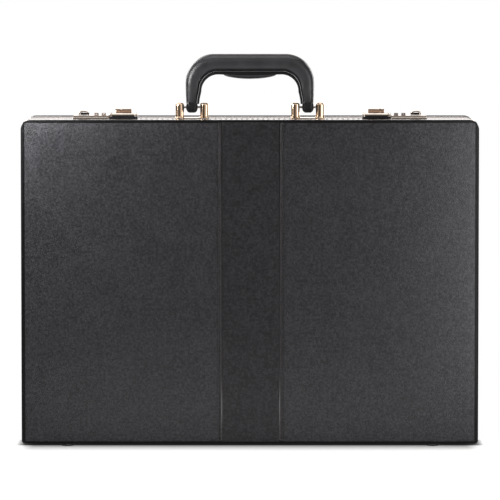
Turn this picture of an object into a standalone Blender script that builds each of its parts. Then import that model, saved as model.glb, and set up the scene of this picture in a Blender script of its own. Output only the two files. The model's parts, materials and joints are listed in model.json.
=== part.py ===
"""Hard-sided leather attache case: two framed half shells, piano hinge, stays, locks and handle.

Metres, +Z up.  The case stands on its hinge side: X is its width, Y its depth, Z its height.
The half towards -Y is the base (it carries the handle and the locks), the other one is the lid.
The origin is the middle of the case on the surface that its feet stand on.
"""
import math

import bmesh
import bpy
from mathutils import Vector

MM = 0.001

# ---- driving dimensions --------------------------------------------------------------------
WIDTH = 457 * MM                # 18 in across the leather
BODY_HEIGHT = 324.5 * MM        # 12.75 in, without feet and handle
DEPTH = 115 * MM                # 4.5 in, both halves together
BASE_DEPTH = 66 * MM            # the deeper half, which carries the hardware
FOOT_HEIGHT = 2.5 * MM
GAP = 0.3 * MM                  # between pieces that touch

TOP_RADIUS = 10 * MM            # corners of the outline, seen from the front
BOTTOM_RADIUS = 3.5 * MM
EDGE_RADIUS = 3.0 * MM          # the edge round each face
FACE_TOP_RADIUS = 2.8 * MM      # corners of the flat face, inside that edge
FACE_BOTTOM_RADIUS = 1.6 * MM
TOP_STEPS = 6                   # segments of a corner
BOTTOM_STEPS = 4
EDGE_STEPS = 4

SKIN = 0.9 * MM                 # leather on the walls
PANEL = 1.0 * MM                # leather on the faces
STRIP = 0.5 * MM                # the thinner strip down the middle
BOARD = 3.0 * MM                # face board
WALL = 6.0 * MM                 # wooden frame
LINING = 0.6 * MM
STRIP_WIDTH = 59.2 * MM

VALANCE_SHEET = 0.9 * MM        # brass edge trim
VALANCE_LEG = 4.0 * MM

HALF_WIDTH = WIDTH / 2
FRONT = -DEPTH / 2
SPLIT = FRONT + BASE_DEPTH
BOTTOM = FOOT_HEIGHT
TOP = BOTTOM + BODY_HEIGHT
HALF_SEAM = 0.15 * MM           # half the gap between base and lid
FRAME_INSET = SKIN + GAP
LINING_INSET = FRAME_INSET + WALL + GAP
INNER_INSET = LINING_INSET + LINING

# ---- hinge along the bottom ----------------------------------------------------------------
HINGE_Z = BOTTOM + 0.1 * MM
HINGE_LENGTH = 384 * MM
KNUCKLES = 9
KNUCKLE_RADIUS = 2.0 * MM
KNUCKLE_BORE = 1.2 * MM
HINGE_PIN_RADIUS = 0.9 * MM
LEAF_SHEET = 0.8 * MM
LEAF_REACH = 14 * MM

# ---- feet ----------------------------------------------------------------------------------
FOOT_X = 183 * MM
FOOT_RADIUS = 7.0 * MM
BASE_FOOT_Y = FRONT + 11 * MM
LID_FOOT_Y = -FRONT - 10 * MM

# ---- stays: a slotted arm turns on the base at half the lid's angle -------------------------
STAY_REACH = 32 * MM            # from the hinge axis to pivot and to stud alike
STAY_PIVOT_ANGLE = math.radians(129)
STAY_STUD_ANGLE = math.radians(79)
LID_OPEN = math.radians(90)
STAY_WIDTH = 7 * MM
STAY_SHEET = 1.2 * MM
STAY_OUTER_X = 219.5 * MM
RIVET_RADIUS = 1.4 * MM
RIVET_HEAD = 2.8 * MM
STAY_END = 4 * MM               # metal beyond the middle of the slot's end

# ---- handle --------------------------------------------------------------------------------
HANDLE_Y = SPLIT - 33 * MM      # middle of the base's top wall
HANDLE_AXIS = 11.7 * MM         # above the top wall
POST_INNER = 45.7 * MM
POST_OUTER = 70.3 * MM
POST_RADIUS = 4.3 * MM
POST_HEIGHT = 16.4 * MM
BRACKET_SHEET = 0.9 * MM
HANDLE_PIN_RADIUS = 1.1 * MM
GRIP_TOP = 65 * MM              # above the top wall
GRIP_SEAM = 47.3 * MM           # underside of the shell
LEG_BOTTOM = 16 * MM
GRIP_OUTER_CORNER = 28 * MM
GRIP_INNER_CORNER = 16.3 * MM
LEG_OUTER_X = 64.6 * MM
END_INNER_X = 52.3 * MM
END_OUTER_X = 63.9 * MM
END_RADIUS = 5.4 * MM
LINER_THICKNESS = 3.0 * MM
LINER_HALF = 7.5 * MM
PAD_HALF_LENGTH = 26 * MM
PAD_DEPTH = 4.2 * MM

# ---- locks, heights above the top wall ------------------------------------------------------
LOCK_FRONT = -17 * MM
LOCK_BACK = 4.2 * MM
LOCK_OUTER_X = 177.5 * MM
LOCK_INNER_X = 142.5 * MM
HASP_PLATE_X = (113.1 * MM, 141.6 * MM)
WELL_FRONT = -9.2 * MM          # where the dials' well starts, in depth
WELL_BACK = 4.0 * MM
WELL_X = (136.2 * MM, 176.2 * MM)
PLATE_TOP = 3.1 * MM
PLATE_SHEET = 0.8 * MM
DIAL_RADIUS = 5.2 * MM
DIAL_WIDTH = 4.4 * MM
DIAL_Y = -2.6 * MM
DIAL_Z = 0.2 * MM
DIAL_X = (140.1 * MM, 147.45 * MM, 154.8 * MM)
SHAFT_RADIUS = 1.0 * MM
TRAY_DEPTH = 6.9 * MM
TRAY_SHEET = 0.8 * MM
BUTTON_X = (161.9 * MM, 172.5 * MM)
BUTTON_TOP = 7.7 * MM
BUTTON_TRAVEL = 4.5 * MM
HASP_X = (119.2 * MM, 135.5 * MM)
HASP_PIVOT_Y = -13 * MM
HASP_PIVOT_Z = 3.6 * MM
HASP_BARREL = 1.8 * MM
HASP_BORE = 1.2 * MM
HASP_PIN_RADIUS = 0.9 * MM


# ---- materials -----------------------------------------------------------------------------
def material(name, colour, roughness, metallic=0.0):
    """A plain Principled material."""
    result = bpy.data.materials.new(name)
    result.use_nodes = True
    shader = result.node_tree.nodes["Principled BSDF"]
    shader.inputs["Base Color"].default_value = (*colour, 1.0)
    shader.inputs["Roughness"].default_value = roughness
    shader.inputs["Metallic"].default_value = metallic
    result.diffuse_color = (*colour, 1.0)
    return result


def leather(name):
    return material(name, (0.035, 0.035, 0.038), 0.5)


def brass(name):
    return material(name, (0.50, 0.37, 0.25), 0.3, 1.0)


def steel(name):
    return material(name, (0.55, 0.54, 0.52), 0.3, 1.0)


def wood(name):
    return material(name, (0.42, 0.30, 0.18), 0.7)


def black(name):
    return material(name, (0.01, 0.01, 0.01), 0.3)


def cloth(name):
    return material(name, (0.05, 0.05, 0.055), 0.9)


# ---- mesh helpers --------------------------------------------------------------------------
def make_object(name, mesh_builder, finish, origin=None, smooth=30):
    """One object from a bmesh; its origin is put on its joint's axis where it has one."""
    bmesh.ops.recalc_face_normals(mesh_builder, faces=mesh_builder.faces[:])
    if origin is not None:
        bmesh.ops.translate(mesh_builder, verts=mesh_builder.verts[:], vec=-Vector(origin))
    mesh = bpy.data.meshes.new(name)
    mesh_builder.to_mesh(mesh)
    mesh_builder.free()
    mesh.shade_smooth()
    mesh.set_sharp_from_angle(angle=math.radians(smooth))
    mesh.materials.append(finish(name) if finish else None)
    result = bpy.data.objects.new(name, mesh)
    if origin is not None:
        result.location = origin
    bpy.context.scene.collection.objects.link(result)
    return result


def loft(name, rings, finish, closed=False, origin=None):
    """Skin between rings of equal point counts; a closed loft bends back on its first ring."""
    builder = bmesh.new()
    loops = [[builder.verts.new(point) for point in ring] for ring in rings]
    count = len(loops[0])
    pairs = list(zip(loops, loops[1:]))
    if closed:
        pairs.append((loops[-1], loops[0]))
    for lower, upper in pairs:
        for i in range(count):
            j = (i + 1) % count
            builder.faces.new((lower[i], lower[j], upper[j], upper[i]))
    if not closed:
        builder.faces.new(list(reversed(loops[0])))
        builder.faces.new(loops[-1])
    return make_object(name, builder, finish, origin)


def prism(name, points, axis, low, high, finish, origin=None):
    """A flat outline extruded along an axis; the outline's two values are the other axes in order."""
    def place(a, b, c):
        return {"X": (c, a, b), "Y": (a, c, b), "Z": (a, b, c)}[axis]
    rings = [[place(a, b, c) for a, b in points] for c in (low, high)]
    return loft(name, rings, finish, origin=origin)


def rectangle(a_range, b_range):
    (a_low, a_high), (b_low, b_high) = a_range, b_range
    return [(a_low, b_low), (a_high, b_low), (a_high, b_high), (a_low, b_high)]


def box(name, x_range, y_range, z_range, finish=None, origin=None):
    return prism(name, rectangle(x_range, y_range), "Z", *z_range, finish, origin)


def circle(radius, count, middle=(0.0, 0.0)):
    steps = [2 * math.pi * (i + 0.5) / count for i in range(count)]
    return [(middle[0] + radius * math.cos(a), middle[1] + radius * math.sin(a)) for a in steps]


def rod(name, radius, middle, x_range, finish=None, origin=None, count=12):
    """A cylinder along X around the point (y, z)."""
    return prism(name, circle(radius, count, middle), "X", *x_range, finish, origin)


def as_tool(tool):
    tool.hide_render = True
    tool.display_type = "WIRE"
    return tool


def boolean(target, tool, operation):
    modifier = target.modifiers.new(tool.name, "BOOLEAN")
    modifier.operation = operation
    modifier.solver = "EXACT"
    modifier.object = as_tool(tool)


def cut(target, *tools):
    for tool in tools:
        boolean(target, tool, "DIFFERENCE")


def add(target, *tools):
    for tool in tools:
        boolean(target, tool, "UNION")


def span(side, low, high):
    """An X range on one side of the case, in rising order."""
    return tuple(sorted((side * low, side * high)))


# ---- the case's outline --------------------------------------------------------------------
def arc(middle, radius, start, steps):
    angles = [start + math.pi / 2 * i / steps for i in range(steps + 1)]
    return [(middle[0] + radius * math.cos(a), middle[1] + radius * math.sin(a)) for a in angles]


def rounded(x_low, x_high, z_low, z_high, radii, steps):
    """Rounded rectangle in X and Z; radii run from the low-low corner round to the left top one."""
    corners = [(x_low, z_low, 1, 1, math.pi), (x_high, z_low, -1, 1, 1.5 * math.pi),
               (x_high, z_high, -1, -1, 0.0), (x_low, z_high, 1, -1, 0.5 * math.pi)]
    points = []
    for (x, z, turn_x, turn_z, start), radius, count in zip(corners, radii, steps):
        if radius == 0:
            points.append((x, z))
        else:
            points += arc((x + turn_x * radius, z + turn_z * radius), radius, start, count)
    return points


def outline(inset, y, top_radius=None, bottom_radius=None):
    """The case's outline, drawn in by an inset, at one depth."""
    top = max(TOP_RADIUS - inset, 1 * MM) if top_radius is None else top_radius
    bottom = max(BOTTOM_RADIUS - inset, 0.8 * MM) if bottom_radius is None else bottom_radius
    points = rounded(-HALF_WIDTH + inset, HALF_WIDTH - inset, BOTTOM + inset, TOP - inset,
                     (bottom, bottom, top, top), (BOTTOM_STEPS, BOTTOM_STEPS, TOP_STEPS, TOP_STEPS))
    return [(x, y, z) for x, z in points]


def blend(low, high, share):
    return low + (high - low) * share


def edge_rings(radius, face_y, inward, steps=EDGE_STEPS):
    """Rings round a face's edge, from the flat face out to the wall; inward is +1 on the base."""
    rings = []
    for i in range(steps + 1):
        angle = math.pi / 2 * i / steps
        inset = EDGE_RADIUS - radius * math.sin(angle)
        y = face_y + inward * (EDGE_RADIUS - radius * math.cos(angle))
        share = math.sin(angle) * (radius / EDGE_RADIUS)
        top = blend(FACE_TOP_RADIUS, TOP_RADIUS, share)
        bottom = blend(FACE_BOTTOM_RADIUS, BOTTOM_RADIUS, share)
        rings.append(outline(inset, y, top, bottom))
    return rings


# ---- half shells ---------------------------------------------------------------------------
def half_shell(half, face_y, inward):
    """Frame, board, leather, edge trim and lining of one half; inward points to the split."""
    rim = SPLIT - inward * HALF_SEAM
    wall_end = rim - inward * (VALANCE_SHEET + GAP)

    def y(depth):
        return face_y + inward * depth

    panel_back = PANEL
    board_front = panel_back + GAP
    board_back = board_front + BOARD
    frame_front = board_back + GAP

    outer = edge_rings(EDGE_RADIUS, face_y, inward)
    inner = edge_rings(EDGE_RADIUS - SKIN, face_y, inward)
    cover = loft(half + "_wall_cover",
                 outer + [outline(0, wall_end), outline(SKIN, wall_end)] + inner[::-1],
                 leather, closed=True)

    chamfer = EDGE_RADIUS - SKIN - GAP
    board_rings = edge_rings(chamfer, face_y, inward, 3)[1:]
    board_rings.insert(0, outline(EDGE_RADIUS + GAP, y(board_front), FACE_TOP_RADIUS, FACE_BOTTOM_RADIUS))
    board_rings.append(outline(FRAME_INSET, y(board_back), TOP_RADIUS - FRAME_INSET, 2.3 * MM))
    board = loft(half + "_face_board", board_rings, wood)

    frame = loft(half + "_frame",
                 [outline(FRAME_INSET, y(frame_front)), outline(FRAME_INSET, wall_end),
                  outline(FRAME_INSET + WALL, wall_end), outline(FRAME_INSET + WALL, y(frame_front))],
                 wood, closed=True)

    leg_end = rim - inward * VALANCE_LEG
    proud = VALANCE_SHEET + GAP
    valance = loft(half + "_valance",
                   [outline(-proud, leg_end), outline(-proud, rim),
                    outline(INNER_INSET + GAP, rim), outline(INNER_INSET + GAP, leg_end),
                    outline(LINING_INSET, leg_end), outline(LINING_INSET, wall_end + inward * GAP),
                    outline(-GAP, wall_end + inward * GAP), outline(-GAP, leg_end)],
                   brass, closed=True)

    lining_rim = leg_end - inward * GAP
    lining = loft(half + "_lining",
                  [outline(LINING_INSET, y(frame_front)), outline(LINING_INSET, lining_rim),
                   outline(INNER_INSET, lining_rim), outline(INNER_INSET, y(frame_front + LINING))],
                  cloth)

    face_panels(half, face_y, inward)
    return {"cover": cover, "board": board, "frame": frame, "valance": valance, "lining": lining}


def face_panels(half, face_y, inward):
    """Two leather side panels and the thinner strip between them."""
    edge = EDGE_RADIUS + GAP
    seam = STRIP_WIDTH / 2
    z_range = (BOTTOM + edge, TOP - edge)
    back = face_y + inward * PANEL
    steps = (3, 3, 4, 4)
    for side, label in ((-1, "left"), (1, "right")):
        x_range = span(side, seam, HALF_WIDTH - edge)
        corner = (FACE_BOTTOM_RADIUS, FACE_TOP_RADIUS)
        radii = (0, corner[0], corner[1], 0) if side > 0 else (corner[0], 0, 0, corner[1])
        points = rounded(*x_range, *z_range, radii, steps)
        prism(half + "_cover_" + label, points, "Y", *sorted((face_y, back)), leather)
    strip_front = back - inward * STRIP
    strip_x = (-seam + GAP, seam - GAP)
    prism(half + "_centre_strip", rectangle(strip_x, z_range), "Y",
          *sorted((strip_front, back)), leather)


def hinge_relief():
    """Room for the barrel and the leaves in the bottom edges of both halves."""
    room = KNUCKLE_RADIUS + 0.35 * MM
    reach = LEAF_REACH / 2 + 1 * MM
    low = -1 * MM
    shelf = BOTTOM - 0.15 * MM
    high = HINGE_Z + room
    points = [(-reach, low), (reach, low), (reach, shelf), (room, shelf),
              (room, high), (-room, high), (-room, shelf), (-reach, shelf)]
    points = [(SPLIT + y, z) for y, z in points]
    half = HINGE_LENGTH / 2 + 1 * MM
    return prism("hinge_relief", points, "X", -half, half, None)


def sole():
    """What the edge trims leave free along the bottom, so that nothing reaches below the hinge axis."""
    reach = HALF_WIDTH + 5 * MM
    return box("sole", (-reach, reach), (SPLIT - 10 * MM, SPLIT + 10 * MM), (-1 * MM, HINGE_Z + GAP / 2))


def hinge():
    """Piano hinge: two leaves with alternating knuckles and one long pin."""
    length = HINGE_LENGTH / KNUCKLES
    leaf_z = (BOTTOM - GAP - LEAF_SHEET, BOTTOM - GAP)
    pivot = (SPLIT, HINGE_Z)
    origin = (0, *pivot)
    bore = rod("hinge_bore", KNUCKLE_BORE, pivot, (-HINGE_LENGTH, HINGE_LENGTH))
    for label, side, first in (("hinge_leaf_base", -1, 0), ("hinge_leaf_lid", 1, 1)):
        clear = KNUCKLE_RADIUS + GAP
        near, far = SPLIT + side * clear, SPLIT + side * LEAF_REACH
        leaf = box(label, (-HINGE_LENGTH / 2, HINGE_LENGTH / 2), sorted((near, far)), leaf_z,
                   brass, origin if side > 0 else None)
        for index in range(first, KNUCKLES, 2):
            start = -HINGE_LENGTH / 2 + index * length
            x_range = (start + GAP / 2, start + length - GAP / 2)
            tab = box("%s_tab_%d" % (label, index), x_range,
                      sorted((SPLIT + side * 0.4 * MM, near + side * 0.5 * MM)), leaf_z)
            knuckle = rod("%s_knuckle_%d" % (label, index), KNUCKLE_RADIUS, pivot, x_range)
            add(leaf, tab, knuckle)
        cut(leaf, bore)
    rod("hinge_pin", HINGE_PIN_RADIUS, pivot, (-HINGE_LENGTH / 2, HINGE_LENGTH / 2), steel)


def foot(name, x, y):
    """A low round foot with a softened rim."""
    top = BOTTOM - GAP
    levels = [(FOOT_RADIUS - 0.8 * MM, 0), (FOOT_RADIUS, 0.7 * MM), (FOOT_RADIUS, top)]
    rings = [[(px, py, z) for px, py in circle(radius, 16, (x, y))] for radius, z in levels]
    loft(name, rings, black)


# ---- stays ---------------------------------------------------------------------------------
def around_hinge(angle):
    return (SPLIT + STAY_REACH * math.cos(angle), HINGE_Z + STAY_REACH * math.sin(angle))


def slot_outline(start, end, radius, middle, direction, steps=6):
    """A long round-ended outline between two distances along a direction from a point."""
    points = []
    for distance, turn in ((end, -math.pi / 2), (start, math.pi / 2)):
        for i in range(steps + 1):
            angle = direction + turn + math.pi * i / steps
            points.append((middle[0] + distance * math.cos(direction) + radius * math.cos(angle),
                           middle[1] + distance * math.sin(direction) + radius * math.sin(angle)))
    return points


def rivet(name, point, side, finish=brass):
    """A shouldered rivet that stands in from a side wall, with its head over the stay."""
    shank_x = span(side, STAY_OUTER_X - STAY_SHEET - GAP, HALF_WIDTH - INNER_INSET - GAP)
    head_inner = STAY_OUTER_X - STAY_SHEET - GAP - 0.8 * MM
    head_x = span(side, head_inner, STAY_OUTER_X - STAY_SHEET - GAP + 0.01 * MM)
    shank = rod(name, RIVET_RADIUS, point, shank_x, finish)
    add(shank, rod(name + "_head", RIVET_HEAD, point, head_x))


def stay(label, side):
    """Slotted arm; the stud on the lid runs in its slot."""
    pivot = around_hinge(STAY_PIVOT_ANGLE)
    stud = around_hinge(STAY_STUD_ANGLE)
    closed_angle = STAY_PIVOT_ANGLE - STAY_STUD_ANGLE
    closed = 2 * STAY_REACH * math.sin(closed_angle / 2)
    opened = 2 * STAY_REACH * math.sin((closed_angle + LID_OPEN) / 2)
    direction = (STAY_PIVOT_ANGLE + STAY_STUD_ANGLE) / 2 - math.pi / 2
    slack = RIVET_RADIUS + 0.4 * MM
    x_range = span(side, STAY_OUTER_X - STAY_SHEET, STAY_OUTER_X)
    half = STAY_WIDTH / 2
    arm = prism("stay_" + label, slot_outline(0, opened + STAY_END - half, half, pivot, direction), "X",
                *x_range, steel, (0, *pivot))
    through = span(side, STAY_OUTER_X - 5 * MM, STAY_OUTER_X + 5 * MM)
    slot = prism("stay_slot_" + label, slot_outline(closed, opened, slack, pivot, direction), "X",
                 *through, None)
    cut(arm, slot, rod("stay_eye_" + label, slack, pivot, through))
    rivet("stay_rivet_" + label, pivot, side)
    rivet("stay_stud_" + label, stud, side)


# ---- locks ---------------------------------------------------------------------------------
def lock_well(label, side):
    """The hole through the top wall that the lock's tray sits in."""
    return box("lock_well_" + label, span(side, *WELL_X), (WELL_FRONT, WELL_BACK),
               (TOP - LINING_INSET - 0.1 * MM, TOP + 5 * MM))


def corner_plate(side, inner, step_x, outer, step_y):
    """Plan of a plate that narrows at its inner side in front of a given depth."""
    points = [(inner, LOCK_FRONT), (outer, LOCK_FRONT), (outer, LOCK_BACK),
              (step_x, LOCK_BACK), (step_x, step_y), (inner, step_y)]
    return [(side * x, y) for x, y in points]


def lock(label, side):
    """Plate, tray, three dials on a shaft and the slide button of one lock."""
    shaft_point = (DIAL_Y, TOP + DIAL_Z)
    wheel_room = WELL_X[0] + GAP + TRAY_SHEET
    tray_x = (WELL_X[0] + GAP, WELL_X[1] - GAP)
    tray_y = (WELL_FRONT + GAP, WELL_BACK - GAP)
    tray = box("lock_tray_" + label, span(side, *tray_x), tray_y, (TOP - TRAY_DEPTH, TOP), black)
    partition = DIAL_X[2] + 4.3 * MM
    inside_y = (tray_y[0] + TRAY_SHEET, tray_y[1] - TRAY_SHEET)
    floor = (TOP - TRAY_DEPTH + TRAY_SHEET, TOP + 5 * MM)
    dial_room = box("dial_room_" + label, span(side, wheel_room, partition), inside_y, floor)
    button_room = box("button_room_" + label,
                      span(side, partition + TRAY_SHEET, tray_x[1] - TRAY_SHEET), inside_y, floor)
    seat_x = span(side, WELL_X[0] - 1 * MM, partition + TRAY_SHEET + 0.3 * MM)
    seat = rod("shaft_seat_" + label, SHAFT_RADIUS + GAP, shaft_point, seat_x)
    cut(tray, dial_room, button_room, seat)

    plate_bottom, plate_top = TOP + GAP, TOP + PLATE_TOP
    step_x = WELL_X[0] + 0.7 * MM
    plan = corner_plate(side, LOCK_INNER_X, step_x, LOCK_OUTER_X, WELL_FRONT + 0.1 * MM)
    plate = prism("lock_plate_" + label, plan, "Z", plate_bottom, plate_top, brass)
    hollow = box("plate_hollow_" + label, span(side, step_x + PLATE_SHEET, WELL_X[1] - PLATE_SHEET),
                 inside_y, (TOP - 5 * MM, plate_top - PLATE_SHEET))
    cut(plate, hollow, seat)

    bore = rod("dial_bore_" + label, SHAFT_RADIUS + GAP, shaft_point, span(side, 130 * MM, 160 * MM))
    for number, x in enumerate(DIAL_X, start=1):
        half = DIAL_WIDTH / 2
        dial = rod("dial_%s_%d" % (label, number), DIAL_RADIUS, shaft_point,
                   span(side, x - half, x + half), black, (side * x, *shaft_point), 20)
        cut(dial, bore)
        window = DIAL_RADIUS + 0.15 * MM
        cut(plate, box("dial_window_%s_%d" % (label, number), span(side, x - half - GAP, x + half + GAP),
                       (DIAL_Y - window, DIAL_Y + window), (TOP, TOP + 9 * MM)))
    rod("dial_shaft_" + label, SHAFT_RADIUS, shaft_point,
        span(side, WELL_X[0] + 0.4 * MM, partition + TRAY_SHEET - 0.1 * MM), steel)

    slide_button(label, side, plate)


def slide_button(label, side, plate):
    """Thumb tab, stem and the shoe that holds it under the plate."""
    tab_z = (TOP + PLATE_TOP + GAP, TOP + BUTTON_TOP)
    low, high = BUTTON_X
    chamfer = 1.2 * MM
    points = [(low, tab_z[0]), (high, tab_z[0]), (high, tab_z[1] - chamfer), (high - chamfer, tab_z[1]),
              (low + chamfer, tab_z[1]), (low, tab_z[1] - chamfer)]
    points = [(side * x, z) for x, z in points]
    middle_y = -3 * MM
    button = prism("slide_button_" + label, points, "Y", middle_y - 4.6 * MM, middle_y + 4.6 * MM, brass)
    stem_x = (low + 3.5 * MM, low + 8.0 * MM)
    stem_half = 1.8 * MM
    stem = box("button_stem_" + label, span(side, *stem_x), (middle_y - stem_half, middle_y + stem_half),
               (TOP + 1.0 * MM, tab_z[0] + 0.5 * MM))
    shoe = box("button_shoe_" + label, span(side, low + 1.5 * MM, low + 8.6 * MM),
               (middle_y - 4 * MM, middle_y + 4 * MM), (TOP + 0.5 * MM, TOP + PLATE_TOP - PLATE_SHEET - GAP))
    add(button, stem, shoe)
    slot_x = span(side, stem_x[0] - GAP, stem_x[1] + BUTTON_TRAVEL + GAP)
    cut(plate, box("button_slot_" + label, slot_x,
                   (middle_y - stem_half - GAP, middle_y + stem_half + GAP), (TOP, TOP + 9 * MM)))


def hasp(label, side):
    """Hasp plate with two ears, the hasp that turns on its pin, and the striker on the lid."""
    pivot = (HASP_PIVOT_Y, TOP + HASP_PIVOT_Z)
    inner, outer = HASP_PLATE_X
    plate_top = TOP + 1.5 * MM
    narrow = WELL_X[0] + 0.4 * MM
    plan = [(inner, LOCK_FRONT), (outer, LOCK_FRONT), (outer, WELL_FRONT - 0.2 * MM),
            (narrow, WELL_FRONT - 0.2 * MM), (narrow, LOCK_BACK), (inner, LOCK_BACK)]
    plate = prism("hasp_plate_" + label, [(side * x, y) for x, y in plan], "Z", TOP + GAP, plate_top, black)
    ear_width = 2.3 * MM
    ear_y = (HASP_PIVOT_Y - 2.2 * MM, HASP_PIVOT_Y + 2.2 * MM)
    for number, x in enumerate((inner, outer - ear_width)):
        ear = box("hasp_ear_%s_%d" % (label, number), span(side, x, x + ear_width), ear_y,
                  (plate_top - 0.6 * MM, TOP + 5.6 * MM))
        add(plate, ear)
    bore = rod("hasp_bore_" + label, HASP_BORE, pivot, span(side, inner - 2 * MM, outer + 2 * MM))
    cut(plate, bore)

    barrel_x = (inner + ear_width + GAP, outer - ear_width - GAP)
    profile = [(-9.8, 2.3), (16, 2.3), (16, 5), (11, 8.6), (4, 9.7), (-9, 9.7), (-9, 8.1), (-2, 8.1),
               (-3.5, 5), (-9.8, 5)]
    profile = [(y * MM, TOP + z * MM) for y, z in profile]
    lever = prism("hasp_" + label, profile, "X", *span(side, *HASP_X), brass, (0, *pivot))
    barrel = rod("hasp_barrel_" + label, HASP_BARREL, pivot, span(side, *barrel_x))
    bridge = box("hasp_bridge_" + label, span(side, *barrel_x),
                 (HASP_PIVOT_Y, WELL_FRONT - 0.3 * MM), (TOP + 2.3 * MM, TOP + 4.9 * MM))
    add(lever, bridge, barrel)
    cut(lever, bore)
    rod("hasp_pin_" + label, HASP_PIN_RADIUS, pivot, span(side, inner + 0.2 * MM, outer - 0.2 * MM), steel)

    striker_y = (SPLIT + HALF_SEAM + VALANCE_LEG + GAP, SPLIT + 15 * MM)
    striker_z = [(striker_y[0], TOP + GAP), (striker_y[1], TOP + GAP), (striker_y[1], TOP + 1.0 * MM),
                 (striker_y[1] - 5 * MM, TOP + 1.9 * MM), (striker_y[0], TOP + 1.9 * MM)]
    prism("striker_" + label, striker_z, "X", *span(side, inner + 1.6 * MM, outer - 2 * MM), brass)


# ---- handle --------------------------------------------------------------------------------
def handle_bracket(label, side):
    """Plate with two domed posts, and the pin between them."""
    plate_top = TOP + GAP + BRACKET_SHEET
    reach = POST_RADIUS + 0.6 * MM
    plate = box("handle_bracket_" + label, span(side, POST_INNER - reach, POST_OUTER + reach),
                (HANDLE_Y - 6 * MM, HANDLE_Y + 6 * MM), (TOP + GAP, plate_top), brass)
    dome = 2.2 * MM
    shoulder = TOP + POST_HEIGHT - dome
    for number, x in enumerate((POST_INNER, POST_OUTER)):
        levels = [(POST_RADIUS, TOP + GAP + 0.3 * MM), (POST_RADIUS, shoulder)]
        for i in range(1, 4):
            angle = math.pi / 2 * i / 4
            levels.append((POST_RADIUS * math.cos(angle) ** 0.6, shoulder + dome * math.sin(angle)))
        rings = [[(px, py, z) for px, py in circle(radius, 16, (side * x, HANDLE_Y))]
                 for radius, z in levels]
        add(plate, loft("post_%s_%d" % (label, number), rings, None))
    point = (HANDLE_Y, TOP + HANDLE_AXIS)
    bore = rod("post_bore_" + label, HANDLE_PIN_RADIUS + GAP, point, span(side, 38 * MM, 78 * MM))
    cut(plate, bore)
    rod("handle_pin_" + label, HANDLE_PIN_RADIUS, point,
        span(side, POST_INNER - 2.5 * MM, POST_OUTER + 2.5 * MM), steel)


def handle_end(label, side):
    """Hard end fitting that turns on the pin."""
    pivot = (HANDLE_Y, TOP + HANDLE_AXIS)
    top = TOP + LEG_BOTTOM - GAP
    points = [(HANDLE_Y + END_RADIUS, top), (HANDLE_Y - END_RADIUS, top)]
    for i in range(9):
        angle = math.pi + math.pi * i / 8
        points.append((pivot[0] + END_RADIUS * math.cos(angle), pivot[1] + END_RADIUS * math.sin(angle)))
    end = prism("handle_end_" + label, points, "X", *span(side, END_INNER_X, END_OUTER_X), black, (0, *pivot))
    cut(end, rod("end_bore_" + label, HANDLE_PIN_RADIUS + GAP, pivot, span(side, 48 * MM, 68 * MM)))


def grip_stations():
    """Outer point, inner point and half depth of the shell, from the leg's end to the middle."""
    corner_out = (LEG_OUTER_X - GRIP_OUTER_CORNER, GRIP_TOP - GRIP_OUTER_CORNER)
    corner_in = (31 * MM, GRIP_SEAM - GRIP_INNER_CORNER)
    leg_out, leg_in = (63.7 * MM, LEG_BOTTOM), (51.9 * MM, LEG_BOTTOM)
    stations = []
    for i in range(4):
        share = i / 4
        outer = (blend(leg_out[0], LEG_OUTER_X, share), blend(leg_out[1], corner_out[1], share))
        inner = (blend(leg_in[0], corner_in[0] + GRIP_INNER_CORNER, share ** 1.3),
                 blend(leg_in[1], corner_in[1], share))
        stations.append((outer, inner, blend(6.5 * MM, 10.5 * MM, share)))
    for i in range(7):
        angle = math.pi / 2 * i / 6
        turn = (math.cos(angle), math.sin(angle))
        outer = tuple(c + GRIP_OUTER_CORNER * t for c, t in zip(corner_out, turn))
        inner = tuple(c + GRIP_INNER_CORNER * t for c, t in zip(corner_in, turn))
        stations.append((outer, inner, blend(10.5 * MM, 12.5 * MM, i / 6)))
    for x in (20 * MM, 10 * MM, 0.0):
        stations.append(((x, GRIP_TOP), (x, GRIP_SEAM), 12.5 * MM))
    return stations


def both_sides(rings_half):
    """Rings of the whole bow from those of its +X half, whose last one is in the middle."""
    mirrored = [[(-x, y, z) for x, y, z in ring] for ring in reversed(rings_half[:-1])]
    return rings_half + mirrored


def handle_grip():
    """Moulded bow covered in leather, over the thinner liner of its inner side."""
    shell = []
    liner = []
    count = 16
    for index, (outer, inner, half_depth) in enumerate(grip_stations()):
        out, inn = Vector((outer[0], 0, outer[1])), Vector((inner[0], 0, inner[1]))
        middle, reach = (out + inn) / 2, (out - inn) / 2
        lift = Vector((0, HANDLE_Y, TOP))
        ring = []
        for i in range(count):
            angle = 2 * math.pi * (i + 0.5) / count
            across, along = math.cos(angle), math.sin(angle)
            across = math.copysign(abs(across) ** 0.8, across)
            along = math.copysign(abs(along) ** 0.8, along)
            ring.append(middle + reach * across + Vector((0, half_depth * along, 0)) + lift)
        shell.append(ring)

        inward = -reach.normalized()
        share = min(1.0, 0.2 + index / 5)
        near, far = inn + inward * GAP, inn + inward * (GAP + LINER_THICKNESS * share)
        if inner[0] < PAD_HALF_LENGTH:
            bulge = math.sqrt(1 - (inner[0] / PAD_HALF_LENGTH) ** 2)
            far = far + inward * PAD_DEPTH * bulge
        half = min(LINER_HALF, half_depth - 2 * MM)
        if index > 0:
            liner.append([point + Vector((0, y, 0)) + lift
                          for point, y in ((near, -half), (near, half), (far, half * 0.8), (far, -half * 0.8))])
    pivot = (0, HANDLE_Y, TOP + HANDLE_AXIS)
    loft("handle_grip", both_sides(shell), leather, origin=pivot)
    loft("handle_liner", both_sides(liner), leather, origin=pivot)


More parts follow.
